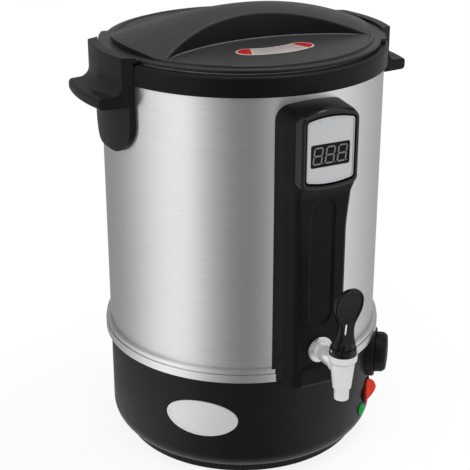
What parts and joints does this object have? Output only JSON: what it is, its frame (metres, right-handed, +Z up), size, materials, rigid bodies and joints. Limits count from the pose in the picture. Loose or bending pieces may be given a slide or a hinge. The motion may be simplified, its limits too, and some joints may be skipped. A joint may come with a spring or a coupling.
{
  "type": "candle wax melter",
  "caption": "Upright electric wax melting pot: brushed steel barrel on a black base, ridged lid, side handles, front display column, lever tap, heat dial and rocker switch.",
  "frame": {"origin": "on the floor under the pot's axis, midway between the four feet", "axes": "+Z up; the tap and display face -Y; the two handles lie on +X and -X"},
  "size_m": [0.32, 0.3387, 0.423],
  "materials": {
    "black_plastic": "fine satin moulding",
    "black_fittings": "semi-gloss moulding",
    "brushed_steel": "brushed round the barrel",
    "polished_steel": "polished rolled strip",
    "pot_steel": "satin sheet",
    "chrome": "plated",
    "silver_tap": "silver-grey moulding",
    "rubber": "dull",
    "silicone": "translucent white",
    "zinc_steel": "zinc plated",
    "aluminium": "cast",
    "element_steel": "heat tinted",
    "silver_label": "fine sparkle print",
    "badge_face": "satin",
    "dark_window": "smoked",
    "display_module": "dark",
    "circuit_board": "solder mask",
    "dial_face": "satin",
    "red_rocker": "translucent red",
    "green_lens": "translucent green",
    "inlet_brass": "plated"
  },
  "bodies": {
    "urn": {"base_housing": "black_plastic", "top_ring": "black_plastic", "left_handle": "black_plastic", "right_handle": "black_plastic", "control_column": "black_plastic", "bottom_cover": "black_plastic", "tap_bonnet": "black_fittings", "rocker_frame": "black_fittings", "indicator_bezel": "black_fittings", "power_inlet": "black_fittings", "thermostat": "black_fittings", "outer_barrel": "brushed_steel", "trim_band": "polished_steel", "inner_pot": "pot_steel", "heat_shield": "pot_steel", "tap_shank": "chrome", "tap_nut": "chrome", "tap_body": "silver_tap", "foot_1": "rubber", "foot_2": "rubber", "foot_3": "rubber", "foot_4": "rubber", "outer_washer": "silicone", "inner_washer": "silicone", "foot_screws": "zinc_steel", "cover_screws": "zinc_steel", "handle_screws": "zinc_steel", "column_screws": "zinc_steel", "heater_nut": "zinc_steel", "tap_spacer": "zinc_steel", "heating_plate": "aluminium", "temperature_probe": "aluminium", "heating_element": "element_steel", "thermal_cutout": "element_steel", "display_plate": "silver_label", "badge": "badge_face", "display_window": "dark_window", "led_display": "display_module", "display_board": "circuit_board", "dial_plate": "dial_face", "indicator_lens": "green_lens", "inlet_pins": "inlet_brass"},
    "lid_carrier": {"lid_seal": "silicone"},
    "lid": {"lid": "black_plastic", "lid_liner": "pot_steel", "lid_screws": "zinc_steel"},
    "valve": {"tap_plunger": "silicone", "tap_pin": "polished_steel", "tap_spring": "zinc_steel"},
    "lever": {"tap_lever": "black_fittings"},
    "dial": {"thermostat_knob": "black_fittings", "thermostat_shaft": "zinc_steel"},
    "rocker": {"rocker": "red_rocker"}
  },
  "joints": [
    {"name": "lid_lift", "type": "slide", "parent": "urn", "child": "lid_carrier", "axis": [0, 0, 1], "range_m": [0, 0.09]},
    {"name": "lid_turn", "type": "hinge", "parent": "lid_carrier", "child": "lid", "pos_m": [0, 0, 0.3912], "axis": [0, 0, 1], "range_deg": [-40, 0]},
    {"name": "tap_valve_lift", "type": "slide", "parent": "urn", "child": "valve", "axis": [0, 0, 1], "range_m": [0, 0.0034], "stiffness_N_per_m": 10, "springref_m": -0.003, "deforming": ["tap_spring"]},
    {"name": "tap_lever_tilt", "type": "hinge", "parent": "valve", "child": "lever", "pos_m": [0, -0.19, 0.1615], "axis": [1, 0, 0], "range_deg": [0, 35]},
    {"name": "heat_dial_turn", "type": "hinge", "parent": "urn", "child": "dial", "pos_m": [0.10956, -0.08715, 0.0824], "axis": [0.7826, -0.6225, 0], "range_deg": [-300, 0]},
    {"name": "rocker_tilt", "type": "hinge", "parent": "urn", "child": "rocker", "pos_m": [0.09019, -0.09083, 0.0465], "axis": [0, 0, 1], "range_deg": [0, 26]}
  ],
  "couplings": [
    {"joint": "tap_valve_lift", "follows": "tap_lever_tilt", "m_per_rad": 0.0052}
  ]
}
